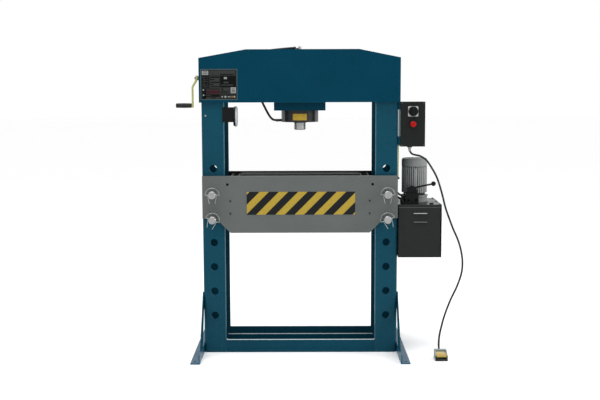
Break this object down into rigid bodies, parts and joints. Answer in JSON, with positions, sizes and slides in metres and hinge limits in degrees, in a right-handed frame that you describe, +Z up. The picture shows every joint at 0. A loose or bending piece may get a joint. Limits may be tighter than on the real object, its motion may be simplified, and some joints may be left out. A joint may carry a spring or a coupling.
{
  "type": "workshop press",
  "caption": "Electro-hydraulic H-frame workshop press with a fixed overhead cylinder, a pinned bed raised by a hand winch, a side power unit, a control box and a foot switch.",
  "frame": {"origin": "on the floor, at the centre of the four anchor holes in the feet", "axes": "+X to the operator's right, towards the power unit; +Y away from the operator; +Z up"},
  "size_m": [1.9181, 0.992, 2.054],
  "materials": {
    "blue_paint": "satin",
    "cylinder_paint": "satin",
    "plain_plate": "satin",
    "zinc_steel": "satin",
    "hose_rubber": "matte",
    "dark_plate": "satin",
    "cast_housing": "matte",
    "wire_rope": "matte",
    "black_plastic": "matte",
    "bright_steel": "polished",
    "clear_glass": "gloss",
    "charcoal_paint": "satin",
    "grey_paint": "satin",
    "cast_alloy": "satin",
    "black_paint": "satin",
    "earth_insulation": "satin",
    "bed_paint": "satin",
    "warning_paint": "satin",
    "ram_steel": "satin",
    "yellow_zinc": "satin",
    "grip_plastic": "matte",
    "red_plastic": "gloss",
    "pedal_plastic": "matte",
    "yellow_paint": "satin",
    "cord_rubber": "matte"
  },
  "bodies": {
    "frame": {"left_upright": "blue_paint", "right_upright": "blue_paint", "header_front_plate": "blue_paint", "header_back_plate": "blue_paint", "header_end_plates": "blue_paint", "cylinder_mount": "blue_paint", "base_front_rail": "blue_paint", "base_back_rail": "blue_paint", "feet": "blue_paint", "foot_braces": "blue_paint", "cylinder_barrel": "cylinder_paint", "cylinder_label": "plain_plate", "cylinder_ends": "cylinder_paint", "hose_fittings": "zinc_steel", "top_hose": "hose_rubber", "lower_hose": "hose_rubber", "type_plate": "dark_plate", "winch_gearbox": "cast_housing", "lift_ropes": "wire_rope", "cross_rope": "wire_rope", "gauge_case": "black_plastic", "gauge_bezel": "bright_steel", "gauge_glass": "clear_glass", "side_brackets": "blue_paint", "control_box": "charcoal_paint", "control_cover": "charcoal_paint", "cord_gland": "black_plastic", "cabinet": "charcoal_paint", "oil_tank": "grey_paint", "tank_lid": "charcoal_paint", "tank_caps": "black_plastic", "pump": "cast_housing", "bell_housing": "cast_alloy", "motor_housing": "cast_alloy", "motor_cowl": "grey_paint", "valve_block": "black_paint", "earth_wire": "earth_insulation", "pedal_base": "pedal_plastic", "pedal_cord": "cord_rubber"},
    "ram": {"ram": "ram_steel"},
    "bed": {"bed_front_plate": "bed_paint", "bed_back_plate": "bed_paint", "bed_ledges": "bed_paint", "bed_spacers": "bed_paint", "warning_strip": "warning_paint"},
    "upper_left_pin": {"upper_left_pin": "zinc_steel"},
    "upper_right_pin": {"upper_right_pin": "zinc_steel"},
    "lower_left_pin": {"lower_left_pin": "zinc_steel"},
    "lower_right_pin": {"lower_right_pin": "zinc_steel"},
    "crank": {"crank": "yellow_zinc"},
    "crank_grip": {"crank_grip": "grip_plastic"},
    "rope_drum": {"rope_drum": "zinc_steel"},
    "rope_pulley": {"rope_pulley": "zinc_steel"},
    "gauge_needle": {"gauge_needle": "black_plastic"},
    "switch_knob": {"switch_knob": "black_plastic"},
    "stop_button": {"stop_button": "red_plastic"},
    "cabinet_door": {"cabinet_door": "charcoal_paint"},
    "motor_rotor": {"motor_rotor": "zinc_steel"},
    "valve_lever": {"valve_lever": "black_paint"},
    "pedal_treadle": {"pedal_treadle": "yellow_paint"}
  },
  "joints": [
    {"name": "ram_stroke", "type": "slide", "parent": "frame", "child": "ram", "axis": [0, 0, -1], "range_m": [0, 0.25]},
    {"name": "bed_lift", "type": "slide", "parent": "frame", "child": "bed", "axis": [0, 0, 1], "range_m": [0, 0.165], "deforming": ["lift_ropes"]},
    {"name": "upper_left_pin_slide", "type": "slide", "parent": "bed", "child": "upper_left_pin", "axis": [0, 1, 0], "range_m": [0, 0.07]},
    {"name": "upper_right_pin_slide", "type": "slide", "parent": "bed", "child": "upper_right_pin", "axis": [0, 1, 0], "range_m": [0, 0.07]},
    {"name": "lower_left_pin_slide", "type": "slide", "parent": "frame", "child": "lower_left_pin", "axis": [0, -1, 0], "range_m": [0, 0.56]},
    {"name": "lower_right_pin_slide", "type": "slide", "parent": "frame", "child": "lower_right_pin", "axis": [0, -1, 0], "range_m": [0, 0.56]},
    {"name": "crank_turn", "type": "hinge", "parent": "frame", "child": "crank", "pos_m": [-0.69, -0.1, 1.844], "axis": [1, 0, 0], "range_deg": [0, 1200]},
    {"name": "grip_spin", "type": "hinge", "parent": "crank", "child": "crank_grip", "pos_m": [-0.76, -0.1, 1.662], "axis": [1, 0, 0], "continuous": true},
    {"name": "drum_turn", "type": "hinge", "parent": "frame", "child": "rope_drum", "pos_m": [-0.575, -0.148, 1.784], "axis": [0, -1, 0], "range_deg": [0, 205]},
    {"name": "pulley_turn", "type": "hinge", "parent": "frame", "child": "rope_pulley", "pos_m": [0.4792, -0.156, 1.784], "axis": [0, -1, 0], "range_deg": [0, 205]},
    {"name": "needle_turn", "type": "hinge", "parent": "frame", "child": "gauge_needle", "pos_m": [-0.43, -0.132, 1.589], "axis": [-1, 0, 0], "range_deg": [0, 270]},
    {"name": "switch_turn", "type": "hinge", "parent": "frame", "child": "switch_knob", "pos_m": [0.7455, -0.21, 1.621], "axis": [0, -1, 0], "range_deg": [0, 90]},
    {"name": "button_push", "type": "slide", "parent": "frame", "child": "stop_button", "axis": [0, 1, 0], "range_m": [0, 0.006], "stiffness_N_per_m": 900},
    {"name": "door_swing", "type": "hinge", "parent": "frame", "child": "cabinet_door", "pos_m": [0.9385, -0.2032, 0.82], "axis": [0, 0, 1], "range_deg": [0, 100]},
    {"name": "motor_spin", "type": "hinge", "parent": "frame", "child": "motor_rotor", "pos_m": [0.782, 0.02, 1.15], "axis": [0, 0, 1], "continuous": true},
    {"name": "lever_tilt", "type": "hinge", "parent": "frame", "child": "valve_lever", "pos_m": [0.755, -0.117, 1.106], "axis": [0, -1, 0], "range_deg": [-15, 15], "stiffness_Nm_per_rad": 6},
    {"name": "treadle_press", "type": "hinge", "parent": "frame", "child": "pedal_treadle", "pos_m": [0.922, -0.353, 0.049], "axis": [1, 0, 0], "range_deg": [0, 8], "stiffness_Nm_per_rad": 12}
  ],
  "couplings": [
    {"joint": "drum_turn", "follows": "bed_lift", "rad_per_m": 20.877},
    {"joint": "pulley_turn", "follows": "bed_lift", "rad_per_m": 20.877},
    {"joint": "crank_turn", "follows": "bed_lift", "rad_per_m": 125.26}
  ]
}
